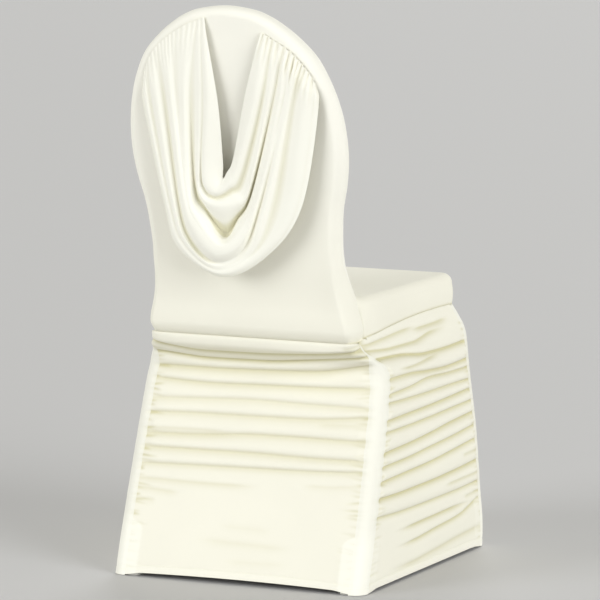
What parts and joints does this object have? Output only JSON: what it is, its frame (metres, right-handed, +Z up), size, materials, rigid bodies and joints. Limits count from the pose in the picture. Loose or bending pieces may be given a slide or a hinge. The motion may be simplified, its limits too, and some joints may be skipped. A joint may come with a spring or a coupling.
{
  "type": "fitted stretch chair cover with a draped swag on its back",
  "caption": "Ivory stretch cover for a banquet chair, with a ruched skirt, a smooth hood over the back and a draped cowl swag sewn across it.",
  "frame": {"origin": "centre of the bounding box's bottom face, on the floor", "axes": "+Z up; -Y the way a sitter faces; +Y the back, which carries the swag; +X the left side as seen from behind"},
  "size_m": [0.4466, 0.5412, 0.917],
  "materials": {
    "ivory_stretch_cloth": "smooth stretch knit with a slight satin sheen",
    "strip_cloth": "the same knit, plain and stretched over the legs",
    "pocket_cloth": "doubled woven tape cloth, matt",
    "swag_cloth": "the same knit, soft and draped, with a slight satin sheen"
  },
  "bodies": {
    "root": {"hood_rear_panel": "ivory_stretch_cloth", "hood_front_panel": "ivory_stretch_cloth", "seat_panel": "ivory_stretch_cloth", "skirt_back": "ivory_stretch_cloth", "skirt_front": "ivory_stretch_cloth", "skirt_left": "ivory_stretch_cloth", "skirt_right": "ivory_stretch_cloth", "corner_strip_back_left": "strip_cloth", "corner_strip_back_right": "strip_cloth", "corner_strip_front_left": "strip_cloth", "corner_strip_front_right": "strip_cloth", "foot_pocket_back_left": "pocket_cloth", "foot_pocket_back_right": "pocket_cloth", "foot_pocket_front_left": "pocket_cloth", "foot_pocket_front_right": "pocket_cloth", "swag": "swag_cloth"}
  },
  "joints": []
}
